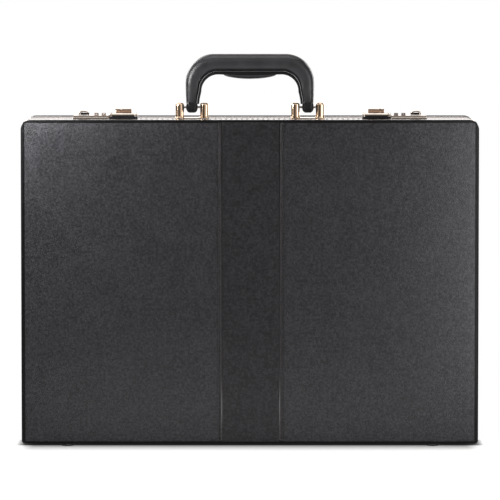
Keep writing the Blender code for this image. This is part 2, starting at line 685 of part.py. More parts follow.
# ---- inside --------------------------------------------------------------------------------
def organiser():
    """Stepped pocket panel on the inside of the lid's face."""
    back = -FRONT - PANEL - 2 * GAP - BOARD - LINING - GAP
    steps = [(back, 40), (back - 5.5 * MM, 40), (back - 5.5 * MM, 150), (back - 4.0 * MM, 151),
             (back - 4.0 * MM, 215), (back - 2.5 * MM, 216), (back - 2.5 * MM, 290), (back, 290)]
    points = [(y, BOTTOM + z * MM) for y, z in steps]
    prism("organiser", points, "X", -195 * MM, 195 * MM, leather)


# ---- assembly ------------------------------------------------------------------------------
def build():
    for existing in list(bpy.data.objects):
        bpy.data.objects.remove(existing, do_unlink=True)

    base = half_shell("base", FRONT, 1)
    lid = half_shell("lid", -FRONT, -1)
    relief = hinge_relief()
    clearance = sole()
    for half in (base, lid):
        for piece in ("cover", "frame", "valance"):
            cut(half[piece], relief)
        cut(half["valance"], clearance)
    hinge()

    for label, side in (("left", -1), ("right", 1)):
        well = lock_well(label, side)
        cut(base["cover"], well)
        cut(base["frame"], well)
        lock(label, side)
        hasp(label, side)
        handle_bracket(label, side)
        handle_end(label, side)
        stay(label, side)
        foot("base_foot_" + label, side * FOOT_X, BASE_FOOT_Y)
        foot("lid_foot_" + label, side * FOOT_X, LID_FOOT_Y)
    handle_grip()
    organiser()


build()
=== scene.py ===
"""Looks of the leather attache case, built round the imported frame."""
import json
from math import copysign, cos, exp, pi, radians, sin, sqrt

import bmesh
import bpy
from mathutils import Matrix, Vector

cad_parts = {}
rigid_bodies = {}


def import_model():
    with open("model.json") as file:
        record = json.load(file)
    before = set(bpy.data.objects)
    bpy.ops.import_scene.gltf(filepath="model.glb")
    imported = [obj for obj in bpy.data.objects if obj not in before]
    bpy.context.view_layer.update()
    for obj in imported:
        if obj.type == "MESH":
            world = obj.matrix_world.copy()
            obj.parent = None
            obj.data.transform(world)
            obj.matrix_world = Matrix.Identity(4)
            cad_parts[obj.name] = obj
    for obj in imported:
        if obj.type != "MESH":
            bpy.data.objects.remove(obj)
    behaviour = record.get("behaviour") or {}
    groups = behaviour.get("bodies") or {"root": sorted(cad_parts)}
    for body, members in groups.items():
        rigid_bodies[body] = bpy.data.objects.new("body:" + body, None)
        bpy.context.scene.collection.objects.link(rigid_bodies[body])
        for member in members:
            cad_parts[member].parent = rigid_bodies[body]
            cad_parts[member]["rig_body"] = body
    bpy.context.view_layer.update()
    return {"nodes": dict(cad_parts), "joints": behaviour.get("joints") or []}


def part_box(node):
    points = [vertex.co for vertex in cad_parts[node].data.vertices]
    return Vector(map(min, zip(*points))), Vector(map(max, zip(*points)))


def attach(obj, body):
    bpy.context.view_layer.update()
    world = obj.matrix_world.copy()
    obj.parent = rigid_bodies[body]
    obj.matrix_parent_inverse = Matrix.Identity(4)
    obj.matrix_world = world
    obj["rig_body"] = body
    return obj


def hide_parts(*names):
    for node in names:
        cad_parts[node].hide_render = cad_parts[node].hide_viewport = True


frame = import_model()

MM = 0.001
SIDES = (("left", -1), ("right", 1))


# ---- places read from the frame ----
def joint_named(name):
    return next(joint for joint in frame["joints"] if joint["name"] == name)


WALL_LOW, WALL_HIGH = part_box("base_wall_cover")
HALF_WIDTH = WALL_HIGH.x
BOTTOM = WALL_LOW.z
TOP = WALL_HIGH.z
FRONT = WALL_LOW.y
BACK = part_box("lid_wall_cover")[1].y
SPLIT = joint_named("lid_hinge")["pos_m"][1]
SEAM_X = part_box("base_cover_right")[0].x
HANDLE_PIVOT = Vector(joint_named("handle_pivot")["pos_m"])
HANDLE_Y = HANDLE_PIVOT.y
TOP_RADIUS = 10 * MM
BOTTOM_RADIUS = 3.5 * MM
FACE_TOP_RADIUS = 2.8 * MM
FACE_BOTTOM_RADIUS = 1.6 * MM


# ---- node helpers ----
class Nodes:
    """Short spelling for building the node tree of a material or of the world."""

    def __init__(self, owner, place="Object"):
        owner.use_nodes = True
        self.tree = owner.node_tree
        self.place = self.tree.nodes.new("ShaderNodeTexCoord").outputs[place]

    def add(self, kind, **settings):
        node = self.tree.nodes.new(kind)
        for key, value in settings.items():
            setattr(node, key, value)
        return node

    def link(self, source, target):
        self.tree.links.new(source, target)

    def stretched(self, scale):
        mapping = self.add("ShaderNodeMapping")
        mapping.inputs["Scale"].default_value = scale
        self.link(self.place, mapping.inputs["Vector"])
        return mapping.outputs["Vector"]

    def noise(self, scale, detail, roughness=0.5, distortion=0.0, vector=None):
        node = self.add("ShaderNodeTexNoise")
        node.inputs["Scale"].default_value = scale
        node.inputs["Detail"].default_value = detail
        node.inputs["Roughness"].default_value = roughness
        node.inputs["Distortion"].default_value = distortion
        self.link(vector or self.place, node.inputs["Vector"])
        return node.outputs["Fac"]

    def cells(self, scale, feature="F1"):
        node = self.add("ShaderNodeTexVoronoi", feature=feature)
        node.inputs["Scale"].default_value = scale
        self.link(self.place, node.inputs["Vector"])
        return node.outputs["Distance"]

    def ramp(self, value, low, high, start=0.0, end=1.0, kind="LINEAR"):
        node = self.add("ShaderNodeMapRange", interpolation_type=kind)
        node.inputs["From Min"].default_value = low
        node.inputs["From Max"].default_value = high
        node.inputs["To Min"].default_value = start
        node.inputs["To Max"].default_value = end
        self.link(value, node.inputs["Value"])
        return node.outputs["Result"]

    def math(self, operation, first, second=0.0):
        node = self.add("ShaderNodeMath", operation=operation)
        for socket, value in zip(node.inputs, (first, second)):
            if isinstance(value, (int, float)):
                socket.default_value = value
            else:
                self.link(value, socket)
        return node.outputs[0]

    def total(self, *terms):
        """Sum of the products of pairs."""
        products = [self.math("MULTIPLY", *pair) for pair in terms]
        result = products[0]
        for product in products[1:]:
            result = self.math("ADD", result, product)
        return result

    def mix(self, factor, first, second):
        node = self.add("ShaderNodeMix", data_type="RGBA")
        self.link(factor, node.inputs[0])
        for socket, value in ((node.inputs[6], first), (node.inputs[7], second)):
            if isinstance(value, tuple):
                socket.default_value = (*value, 1.0)
            else:
                self.link(value, socket)
        return node.outputs[2]

    def bump(self, height, distance, strength, under=None):
        node = self.add("ShaderNodeBump")
        node.inputs["Strength"].default_value = strength
        node.inputs["Distance"].default_value = distance
        self.link(height, node.inputs["Height"])
        if under is not None:
            self.link(under, node.inputs["Normal"])
        return node.outputs["Normal"]

    def split(self, vector):
        node = self.add("ShaderNodeSeparateXYZ")
        self.link(vector, node.inputs[0])
        return node.outputs

    def finish(self, colour, roughness=None, normal=None, emission=None, **fixed):
        inputs = self.tree.nodes["Principled BSDF"].inputs
        linked_sockets = ((colour, "Base Color"), (roughness, "Roughness"), (normal, "Normal"),
                          (emission, "Emission Color"))
        for value, socket in linked_sockets:
            if value is not None:
                self.link(value, inputs[socket])
        for name, value in fixed.items():
            inputs[name.replace("_", " ")].default_value = value


LOOKS = {}      # every material, by its name


def material(name):
    """The node tree of a new material, which LOOKS then holds."""
    LOOKS[name] = bpy.data.materials.new(name)
    return Nodes(LOOKS[name])


# ---- materials ----
def leather(name, dark, light, grain, roughness=(0.40, 0.58), depth=0.10, shine=0.5):
    """Corrected-grain black leather: pebbled cells, creases between them darkened with painted shade, uneven sheen.
    """
    n = material(name)
    warped = n.noise(260 / grain, 2.0)
    pebbles = n.cells(820 / grain)
    creases = n.cells(820 / grain, "DISTANCE_TO_EDGE")
    broad = n.cells(300 / grain)
    cloud = n.noise(34, 4.0, 0.6)
    drift = n.noise(7, 2.0)
    fine = n.noise(2600, 2.0)
    mottle = n.noise(420 / grain, 3.0, 0.65)
    patches = n.noise(150 / grain, 3.0, 0.6)
    tone = n.total((mottle, 0.68), (cloud, 0.14), (patches, 0.18))
    colour = n.mix(n.ramp(tone, 0.41, 0.59), dark, light)
    # Painted shade: the colour darkens to darkest in the creases between the cells.
    crease_shade = n.ramp(creases, 0.0, 0.12)
    darkest = tuple(0.45 * c for c in dark)
    colour = n.mix(crease_shade, darkest, colour)
    ridges = n.ramp(creases, 0.0, 0.22)
    height = n.total((ridges, 0.7), (warped, 0.6), (pebbles, -0.35), (broad, -0.4), (fine, 0.08))
    swell = n.bump(drift, 4.0 * MM, 0.35)
    normal = n.bump(height, depth * MM, 0.9, swell)
    rough = n.ramp(n.total((cloud, 0.6), (mottle, 0.4)), 0.35, 0.65, *roughness)
    n.finish(colour, rough, normal, Specular_IOR_Level=shine)


def smooth_leather(name, dark, light, roughness=(0.30, 0.42), shine=0.45):
    """Finer, stretched leather of the handle, with small creases across the bends."""
    n = material(name)
    cells = n.cells(1500, "DISTANCE_TO_EDGE")
    cloud = n.noise(60, 4.0, 0.6)
    creases = n.noise(190, 3.0, 0.6, 0.6, n.stretched((1.0, 0.35, 1.6)))
    tone = n.ramp(cloud, 0.35, 0.65)
    colour = n.mix(tone, dark, light)
    height = n.total((n.ramp(cells, 0.0, 0.2), 0.35), (creases, 1.0))
    normal = n.bump(height, 0.10 * MM, 0.8)
    rough = n.ramp(n.noise(140, 3.0), 0.35, 0.65, *roughness)
    n.finish(colour, rough, normal, Specular_IOR_Level=shine)


def plated(name, tint, patina, roughness, brush=(1.0, 1.0, 14.0), amount=0.35):
    """Plated metal: a patina that gathers in clouds, fine brushing and small scratches."""
    n = material(name)
    cloud = n.noise(150, 5.0, 0.65, 0.4)
    brushed = n.noise(900, 3.0, 0.6, 0.0, n.stretched(brush))
    speck = n.noise(2200, 2.0)
    worn = n.ramp(cloud, 0.42, 0.72, 0.0, amount)
    colour = n.mix(worn, tint, patina)
    bright = tuple(min(1.0, 1.18 * c) for c in tint)
    colour = n.mix(n.ramp(brushed, 0.45, 0.75, 0.0, 0.35), colour, bright)
    rough = n.ramp(n.total((brushed, 0.5), (cloud, 0.5)), 0.35, 0.65, *roughness)
    normal = n.bump(n.total((brushed, 1.0), (speck, 0.3)), 0.012 * MM, 0.6)
    n.finish(colour, rough, normal, Metallic=1.0)


def moulded(name, colour, roughness=(0.08, 0.2)):
    """Moulded black plastic with faint flow marks and rubbed spots."""
    n = material(name)
    cloud = n.noise(90, 4.0, 0.6)
    lighter = tuple(c * 2.2 + 0.004 for c in colour)
    tone = n.mix(n.ramp(cloud, 0.5, 0.8, 0.0, 0.6), colour, lighter)
    rough = n.ramp(n.noise(380, 4.0), 0.35, 0.7, *roughness)
    normal = n.bump(n.noise(1500, 2.0), 0.01 * MM, 0.5)
    n.finish(tone, rough, normal, Specular_IOR_Level=0.5)


def woven(name, dark, light):
    """Twill lining: two sets of threads, slightly fuzzy."""
    n = material(name)
    threads = 1500
    ridges = []
    for scale in ((1.0, 1.0, 1.0), (-1.0, 1.0, 1.0)):
        wave = n.add("ShaderNodeTexWave", wave_type="BANDS", bands_direction="DIAGONAL")
        wave.inputs["Scale"].default_value = threads / 6.28
        wave.inputs["Distortion"].default_value = 0.4
        n.link(n.stretched(scale), wave.inputs["Vector"])
        ridges.append(wave.outputs["Fac"])
    height = n.total((ridges[0], 0.7), (ridges[1], 0.3))
    fuzz = n.noise(900, 4.0, 0.7)
    colour = n.mix(n.ramp(n.total((height, 0.5), (fuzz, 0.5)), 0.3, 0.75), dark, light)
    rough = n.ramp(fuzz, 0.3, 0.7, 0.8, 0.95)
    normal = n.bump(height, 0.12 * MM, 0.7)
    n.finish(colour, rough, normal, Sheen_Weight=0.35, Sheen_Roughness=0.4)


def thread(name, colour):
    """Waxed sewing thread with a twist."""
    n = material(name)
    twist = n.noise(3200, 2.0)
    lighter = tuple(min(1.0, c * 1.7) for c in colour)
    tone = n.mix(n.ramp(twist, 0.35, 0.65), colour, lighter)
    n.finish(tone, n.ramp(twist, 0.3, 0.7, 0.42, 0.6), n.bump(twist, 0.05 * MM, 0.6))


def ink(name, colour):
    """Printed paint with small worn specks."""
    n = material(name)
    speck = n.noise(2600, 3.0)
    tone = n.mix(n.ramp(speck, 0.4, 0.8), colour, tuple(0.7 * c for c in colour))
    n.finish(tone, n.ramp(speck, 0.3, 0.7, 0.4, 0.55))


def plywood(name):
    """Bare plywood of the frames, seen only through the wells."""
    n = material(name)
    rings = n.noise(40, 5.0, 0.6, 1.5, n.stretched((0.2, 1.0, 1.0)))
    colour = n.mix(n.ramp(rings, 0.35, 0.65), (0.30, 0.19, 0.10), (0.50, 0.36, 0.22))
    n.finish(colour, n.ramp(rings, 0.3, 0.7, 0.6, 0.8), n.bump(rings, 0.1 * MM, 0.5))


leather("case_leather", (0.0085, 0.0083, 0.0096), (0.0290, 0.0284, 0.0328), 1.1, (0.36, 0.54), 0.17, 0.24)
# wall_leather and roll_leather are darker copies of the case leather; their darker colour is painted shade that keeps
# the walls and the rolled edges black.
leather("wall_leather", (0.0025, 0.0025, 0.003), (0.006, 0.006, 0.007), 1.0, (0.12, 0.22), 0.03)
leather("roll_leather", (0.002, 0.002, 0.0024), (0.005, 0.005, 0.006), 1.0, (0.42, 0.58), 0.03, 0.12)
leather("strip_leather", (0.006, 0.0058, 0.0067), (0.0215, 0.021, 0.0238), 1.1, (0.38, 0.56), 0.17, 0.2)
smooth_leather("handle_leather", (0.010, 0.0098, 0.0113), (0.018, 0.0177, 0.0208))
# liner_leather is a darker copy of the handle leather; its darker colour is painted shade along the liner under the
# shell.
smooth_leather("liner_leather", (0.006, 0.006, 0.0065), (0.012, 0.012, 0.013), (0.5, 0.65), 0.1)
leather("pocket_leather", (0.020, 0.020, 0.021), (0.040, 0.040, 0.043), 1.2)
plated("lock_brass", (0.80, 0.72, 0.64), (0.48, 0.41, 0.35), (0.09, 0.18), amount=0.3)
# hasp_brass is a darker copy of lock_brass; its darker tint is painted shade on the hasp.
plated("hasp_brass", (0.64, 0.55, 0.48), (0.38, 0.31, 0.26), (0.10, 0.20), amount=0.3)
plated("post_brass", (0.76, 0.57, 0.40), (0.44, 0.30, 0.19), (0.05, 0.10), amount=0.25)
plated("edge_metal", (0.80, 0.71, 0.65), (0.50, 0.42, 0.37), (0.2, 0.38), (14.0, 1.0, 1.0), 0.2)
plated("hinge_brass", (0.58, 0.42, 0.28), (0.22, 0.14, 0.09), (0.25, 0.42))
plated("pin_steel", (0.40, 0.37, 0.35), (0.15, 0.13, 0.12), (0.2, 0.35))
plated("stay_steel", (0.66, 0.64, 0.61), (0.35, 0.33, 0.31), (0.22, 0.36), (1.0, 12.0, 1.0), 0.2)
moulded("black_plastic", (0.006, 0.006, 0.0065))
moulded("dial_plastic", (0.075, 0.050, 0.040), (0.25, 0.4))
woven("lining_cloth", (0.022, 0.022, 0.025), (0.060, 0.060, 0.066))
plywood("frame_wood")
thread("stitch_thread", (0.012, 0.012, 0.013))
thread("pale_thread", (0.16, 0.155, 0.15))
ink("digit_ink", (0.80, 0.77, 0.70))


# ---- piece helpers ----
def linked(name, data):
    """A new object in the scene."""
    result = bpy.data.objects.new(name, data)
    bpy.context.scene.collection.objects.link(result)
    return result


def finished(name, builder, look, body, stands_for=None, sharp=35):
    """A mesh piece in the row frame, riding on one body."""
    bmesh.ops.recalc_face_normals(builder, faces=builder.faces[:])
    mesh = bpy.data.meshes.new(name)
    builder.to_mesh(mesh)
    builder.free()
    mesh.shade_smooth()
    if sharp is not None:
        mesh.set_sharp_from_angle(angle=radians(sharp))
    mesh.materials.append(LOOKS[look])
    result = linked(name, mesh)
    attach(result, body)
    if stands_for:
        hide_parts(stands_for)
    return result


def piece(name, solids, look, body, stands_for=None, sharp=35, closed=False):
    """A piece made of solids, each of them a list of rings; closed joins the last ring to the first."""
    builder = bmesh.new()
    for rings in solids:
        skin(builder, rings, closed)
    return finished(name, builder, look, body, stands_for, sharp)


def skin(builder, rings, closed):
    """Quads between rings of equal point counts, with a flat cap at each end of an open row."""
    loops = [[builder.verts.new(point) for point in ring] for ring in rings]
    pairs = list(zip(loops, loops[1:]))
    if closed:
        pairs.append((loops[-1], loops[0]))
    for lower, upper in pairs:
        for i in range(len(lower)):
            j = (i + 1) % len(lower)
            builder.faces.new((lower[i], lower[j], upper[j], upper[i]))
    if not closed:
        builder.faces.new(list(reversed(loops[0])))
        builder.faces.new(loops[-1])


def bevel(target, width, segments, angle=32):
    modifier = target.modifiers.new("edge_round", "BEVEL")
    modifier.width = width
    modifier.segments = segments
    modifier.limit_method = "ANGLE"
    modifier.angle_limit = radians(angle)
    modifier.harden_normals = True
    return target


def prism(points, axis, start, end):
    """Rings of a flat outline extruded along an axis; its two values are the other axes in order."""
    def at(a, b, c):
        return {"X": (c, a, b), "Y": (a, c, b), "Z": (a, b, c)}[axis]
    return [[at(a, b, c) for a, b in points] for c in sorted((start, end))]


def block(x_range, y_range, z_range):
    (x0, x1), (y0, y1) = sorted(x_range), sorted(y_range)
    return prism([(x0, y0), (x1, y0), (x1, y1), (x0, y1)], "Z", *z_range)


def turns(count):
    """Angles of equal steps round a full turn."""
    return [2 * pi * i / count for i in range(count)]


def turned(profile, centre, axis, count):
    """Rings of a surface of revolution; the profile is (radius, distance along the axis) from end to end."""
    rings = []
    for radius, along in profile:
        ring = []
        for angle in turns(count):
            a, b = radius * cos(angle), radius * sin(angle)
            offset = {"Z": (a, b, along), "X": (along, a, b), "Y": (a, along, b)}[axis]
            ring.append(Vector(centre) + Vector(offset))
        rings.append(ring)
    return rings


def blend(low, high, share):
    return low + (high - low) * share


def powered(value, power):
    """A sine or cosine raised to a power, with its sign kept; powers below 1 make a section squarer."""
    return copysign(abs(value) ** power, value)


def arc(middle, radius, start, sweep, steps):
    angles = [start + sweep * i / steps for i in range(steps + 1)]
    return [(middle[0] + radius * cos(a), middle[1] + radius * sin(a)) for a in angles]


def rounded(x_low, x_high, z_low, z_high, radii, steps=6):
    """Rounded rectangle; radii run from the low-low corner round to the low-high one."""
    corners = [(x_low, z_low, 1, 1, pi), (x_high, z_low, -1, 1, 1.5 * pi),
               (x_high, z_high, -1, -1, 0.0), (x_low, z_high, 1, -1, 0.5 * pi)]
    points = []
    for (x, z, turn_x, turn_z, start), radius in zip(corners, radii):
        points += arc((x + turn_x * radius, z + turn_z * radius), radius, start, pi / 2, steps)
    return points


def refined(node, width, look, segments=2):
    """The CAD node's own shape with its edges rounded over, in a finished material."""
    source = frame["nodes"][node].data
    builder = bmesh.new()
    corners = [builder.verts.new(v.co) for v in source.vertices]
    for polygon in source.polygons:
        builder.faces.new([corners[i] for i in polygon.vertices])
    bmesh.ops.remove_doubles(builder, verts=builder.verts[:], dist=0.01 * MM)
    bmesh.ops.dissolve_limit(builder, angle_limit=radians(0.5), verts=builder.verts[:],
                             edges=builder.edges[:])
    body = frame["nodes"][node]["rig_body"]
    return bevel(finished(node + "_fine", builder, look, body, node, sharp=32), width, segments)


def keep(node, look):
    """A CAD node whose shape is right, in a finished material."""
    mesh = frame["nodes"][node].data
    mesh.materials.clear()
    mesh.materials.append(LOOKS[look])


# ---- stitches ----
def stitch_row(name, start, end, out, pitch, length, width, body, look="stitch_thread"):
    """Separate stitches along a straight seam; each dips into the leather at both ends."""
    start, end, out = Vector(start), Vector(end), Vector(out).normalized()
    along = (end - start).normalized()
    level = along.cross(out).normalized()
    count = max(1, round((end - start).length / pitch))
    step = (end - start).length / count
    stitches = []
    for index in range(count):
        middle = start + along * step * (index + 0.5)
        rings = []
        for k in range(7):
            t = 2 * k / 6 - 1
            radius = width / 2 * (0.45 + 0.55 * sqrt(max(0.0, 1 - t ** 4)))
            rise = width * 0.30 * (1 - t ** 2) - width * 0.18 * t ** 4
            centre = middle + along * (length / 2 * t) + out * rise
            rings.append([centre + level * radius * cos(a) + out * radius * sin(a)
                          for a in turns(8)])
        stitches.append(rings)
    return piece(name, stitches, look, body, sharp=60)


# ---- case walls ----
SIDE_ROLL = 2.3 * MM          # how far the leather's roll reaches in over the face, at each edge
TOP_ROLL = 1.4 * MM
BOTTOM_ROLL = 2.0 * MM
ROLL_DEPTH = 3.0 * MM
SKIN = 0.9 * MM               # the leather's thickness
GROOVE = 0.3 * MM             # between the roll and the panels
TOP_GAP = 0.9 * MM
EDGE_STEPS = 10               # segments of the roll and of the outline's corners
UNDER_TRIM = 1.2 * MM         # how far the wall leather stops short, under the metal trim
STITCH_PITCH = 3.25 * MM
SEAM_STITCH = 2.6 * MM        # from a panel's fold to its stitches
STRIP_OFFSET = 0.8 * MM       # the strip is sewn a little off the middle
SEAM_SLOT = 1.2 * MM          # open slot between a panel's fold and the strip
FOLD = 0.45 * MM              # radius of a panel's folded edge
PANEL_ROLL = 0.7 * MM         # and of its other edges
TRIM_FLATNESS = 0.4           # the trim's height over the top wall, as a share of the CAD's


def outline(share, y, shrink=0.0):
    """The case's outline in one depth plane; share 0 is the face's edge and 1 the walls' outside."""
    side = (1 - share) * SIDE_ROLL + shrink
    top = TOP - (1 - share) * TOP_ROLL - shrink
    bottom = BOTTOM + (1 - share) * BOTTOM_ROLL + shrink
    top_radius = blend(FACE_TOP_RADIUS, TOP_RADIUS, share) - shrink
    bottom_radius = blend(FACE_BOTTOM_RADIUS, BOTTOM_RADIUS, share) - shrink
    radii = (bottom_radius, bottom_radius, top_radius, top_radius)
    points = rounded(-HALF_WIDTH + side, HALF_WIDTH - side, bottom, top, radii, EDGE_STEPS)
    return [(x, y, z) for x, z in points]


def edge_roll(face_y, inward, shrink=0.0):
    """Rings round a face's edge, from the face out to the wall."""
    rings = []
    for i in range(EDGE_STEPS + 1):
        angle = pi / 2 * i / EDGE_STEPS
        depth = shrink + (ROLL_DEPTH - shrink) * (1 - cos(angle))
        rings.append(outline(sin(angle), face_y + inward * depth, shrink))
    return rings


def wall_cover(half, face_y, inward):
    """Leather round the walls, rolled over the face's edge and tucked into the groove beside the panel."""
    low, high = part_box(half + "_wall_cover")
    wall_end = (high.y if inward > 0 else low.y) - inward * UNDER_TRIM
    roll_end = face_y + inward * ROLL_DEPTH
    ledge = face_y + inward * 0.75 * MM
    roll = [outline(0, ledge, 1.6 * MM), outline(0, ledge, 0.12 * MM)]
    roll += edge_roll(face_y, inward) + edge_roll(face_y, inward, SKIN)[::-1]
    piece(half + "_edge_roll", [roll], "roll_leather", half, half + "_wall_cover",
          sharp=50, closed=True)
    wall = [outline(1, blend(roll_end, wall_end, share)) for share in (0, 0.02, 0.25, 0.5, 0.75, 0.98, 1)]
    wall += [outline(1, wall_end, SKIN), outline(1, roll_end, SKIN)]
    piece(half + "_wall_leather", [wall], "wall_leather", half, sharp=50, closed=True)


def leather_panel(name, x_range, z_range, radius, y_face, out, roll, thickness, crown, look, body,
                  stands_for=None):
    """A flat panel whose edges roll over, very slightly crowned towards its middle."""
    def ring(inset, depth):
        shrunk = max(radius - inset, 0.25 * MM)
        points = rounded(x_range[0] + inset, x_range[1] - inset, z_range[0] + inset, z_range[1] - inset,
                         (shrunk,) * 4)
        return [(x, y_face - out * depth, z) for x, z in points]

    rings = [ring(0.0, thickness)]
    for i in range(7):
        angle = pi / 2 * i / 6
        rings.append(ring(roll * (1 - cos(angle)), crown + roll * (1 - sin(angle))))
    for inset, share in ((2.2 * MM, 0.35), (6 * MM, 0.75), (14 * MM, 1.0)):
        rings.append(ring(inset, crown * (1 - share)))
    return piece(name, [rings], look, body, stands_for, sharp=60)


def fold_height(distance, along):
    """The folded and stitched edge: a swell, then the groove that the stitches pull in."""
    hole = 0.5 + 0.5 * cos(2 * pi * along / STITCH_PITCH)
    swell = (0.64 - 0.16 * hole) * MM * exp(-((distance - 1.15 * MM) / (0.52 * MM)) ** 2)
    groove = (0.22 + 0.28 * hole) * MM * exp(-((distance - SEAM_STITCH) / (0.62 * MM)) ** 2)
    return swell - groove


def rounding(gap, radius):
    """How far a rounded edge of this radius has fallen away, at a gap from its outer end."""
    return radius - sqrt(radius ** 2 - (radius - gap) ** 2) if gap < radius else 0.0


def edge_drop(side_gap, bottom_gap, top_gap):
    """How far a panel's soft face falls away towards its outer edges, and rolls over at the last."""
    slopes = ((side_gap, 0.9 * MM, 15 * MM), (bottom_gap, 0.4 * MM, 10 * MM), (top_gap, 1.0 * MM, 17 * MM))
    drop = max(crown * max(0.0, 1 - gap / reach) ** 2 for gap, crown, reach in slopes)
    return drop + rounding(min(side_gap, bottom_gap, top_gap), PANEL_ROLL)


def side_panel(half, label, side, z_low, z_high, face_y, out):
    """A side panel of the face, from its folded seam beside the strip to the case's edge."""
    thickness = 1.3 * MM
    length = z_high - z_low
    near_end = [t * MM for t in (0, 0.06, 0.2, 0.42, 0.7, 1.3, 2.2, 3.2)]
    rows = near_end + [STITCH_PITCH / 4 * i for i in range(5, round(4 * length / STITCH_PITCH) - 4)]
    rows = [t for t in rows if t < length - 3.3 * MM] + [length - t for t in reversed(near_end)]
    seam = [t * MM for t in (0, 0.05, 0.16, 0.32, 0.6, 0.9, 1.2, 1.5, 1.8, 2.1, 2.4, 2.7, 3.0, 3.4, 4, 5.5)]
    start = SEAM_X + side * STRIP_OFFSET
    width = HALF_WIDTH - SIDE_ROLL - GROOVE - start
    builder = bmesh.new()
    grid = []
    for t in rows:
        reach = width - (rounding(t, FACE_BOTTOM_RADIUS) + rounding(length - t, FACE_TOP_RADIUS))
        stations = seam + [blend(seam[-1], reach - 12 * MM, share) for share in (0.1, 0.3, 0.5, 0.7, 0.9, 1)]
        stations += [reach - gap * MM for gap in (9, 6.5, 4.6)]
        stations += [reach - gap for gap in reversed(near_end)]
        line = []
        for s in stations:
            depth = rounding(s, FOLD) + edge_drop(reach - s, t, length - t) - fold_height(s, t)
            line.append(builder.verts.new((side * (start + s), face_y - out * depth, z_low + t)))
        grid.append(line)
    for lower, upper in zip(grid, grid[1:]):
        for i in range(len(lower) - 1):
            builder.faces.new((lower[i], lower[i + 1], upper[i + 1], upper[i]))
    rim = grid[0][:-1] + [line[-1] for line in grid[:-1]]
    rim += grid[-1][:0:-1] + [line[0] for line in grid[:0:-1]]
    below = [builder.verts.new((v.co.x, face_y - out * thickness, v.co.z)) for v in rim]
    for i in range(len(rim)):
        j = (i + 1) % len(rim)
        builder.faces.new((rim[i], rim[j], below[j], below[i]))
    builder.faces.new(below)
    finished("%s_panel_%s" % (half, label), builder, "case_leather", half, "%s_cover_%s" % (half, label),
             sharp=70)


def face(half, face_y, inward):
    """Two side panels with folded seams over the recessed strip, and the stitches beside the seams."""
    out = -inward
    z_low = BOTTOM + BOTTOM_ROLL + GROOVE
    z_high = TOP - TOP_ROLL - TOP_GAP
    for label, side in SIDES:
        side_panel(half, label, side, z_low, z_high, face_y, out)
        x, y = side * (SEAM_X + SEAM_STITCH) + STRIP_OFFSET, face_y + inward * 0.1 * MM
        stitch_row(half + "_seam_stitches_" + label, (x, y, z_low), (x, y, z_high), (0, out, 0),
                   STITCH_PITCH, 2.7 * MM, 0.75 * MM, half)
    strip_low, strip_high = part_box(half + "_centre_strip")
    strip_face = strip_low.y if inward > 0 else strip_high.y
    reach = SEAM_X - SEAM_SLOT
    leather_panel(half + "_strip", (STRIP_OFFSET - reach, STRIP_OFFSET + reach), (z_low, z_high), 0.3 * MM,
                  strip_face, out, 0.3 * MM, 0.5 * MM, 0.05 * MM, "strip_leather", half,
                  half + "_centre_strip")
    # The bed under the seam slots is in the darker wall leather: a dark sheet that paints shade into the slots.
    reach = SEAM_X - 0.1 * MM
    bed = block((STRIP_OFFSET - reach, STRIP_OFFSET + reach),
                (strip_face + inward * 0.6 * MM, strip_face + inward * 0.75 * MM), (z_low, z_high))
    piece(half + "_strip_bed", [bed], "wall_leather", half)


def rear_piping():
    """A thin leather bead round the lid's rear edge."""
    radius, proud = 0.55 * MM, 0.4 * MM
    rings = [outline(1, BACK - ROLL_DEPTH + radius * sin(angle), -proud - radius * cos(angle))
             for angle in turns(12)]
    piece("lid_piping", [rings], "wall_leather", "lid", sharp=None, closed=True)


def trims(half):
    """Lining, boards and the thin metal edge, which lies nearly flush with the top wall."""
    trim = refined(half + "_valance", 0.28 * MM, "edge_metal")
    for vertex in trim.data.vertices:
        if vertex.co.z > TOP:
            vertex.co.z = TOP + (vertex.co.z - TOP) * TRIM_FLATNESS
    keep(half + "_lining", "lining_cloth")
    keep(half + "_frame", "frame_wood")
    keep(half + "_face_board", "frame_wood")


def top_stitches():
    """Row of stitches along the front of the top wall, between the locks."""
    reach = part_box("hasp_plate_right")[0].x - 1.5 * MM
    y = FRONT + 24 * MM
    stitch_row("top_wall_stitches", (-reach, y, TOP), (reach, y, TOP), (0, 0, 1), 5.26 * MM, 2.7 * MM,
               0.6 * MM, "base", "pale_thread")


# ---- hinge, feet and stays ----
def rivet_row(name, centres, out, radius, height, look, body):
    """Low domed rivet heads in a row, as one piece."""
    foot = 0.1 * MM
    profile = [(radius, -0.15 * MM), (radius, foot)]
    profile += [(radius * cos(a), foot + height * sin(a))
                for a in (pi / 2 * i / 6 for i in range(1, 6))]
    profile.append((radius * 0.05, foot + height))
    profile = [(r, out * along) for r, along in profile]
    piece(name, [turned(profile, centre, "Z", 16) for centre in centres], look, body, sharp=50)


def hinge():
    """The piano hinge's leaves and pin, and a row of rivet heads under each leaf."""
    refined("hinge_leaf_base", 0.14 * MM, "hinge_brass", 1)
    refined("hinge_leaf_lid", 0.14 * MM, "hinge_brass", 1)
    refined("hinge_pin", 0.2 * MM, "pin_steel")
    low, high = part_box("hinge_leaf_base")
    count, aside, under = 14, 9.5 * MM, BOTTOM - 1.1 * MM
    for half, side in (("base", -1), ("lid", 1)):
        places = [blend(low.x, high.x, (i + 0.5) / count) for i in range(count)]
        centres = [(x, SPLIT + side * aside, under) for x in places]
        rivet_row("hinge_rivets_" + half, centres, -1, 1.5 * MM, 0.5 * MM, "hinge_brass", half)


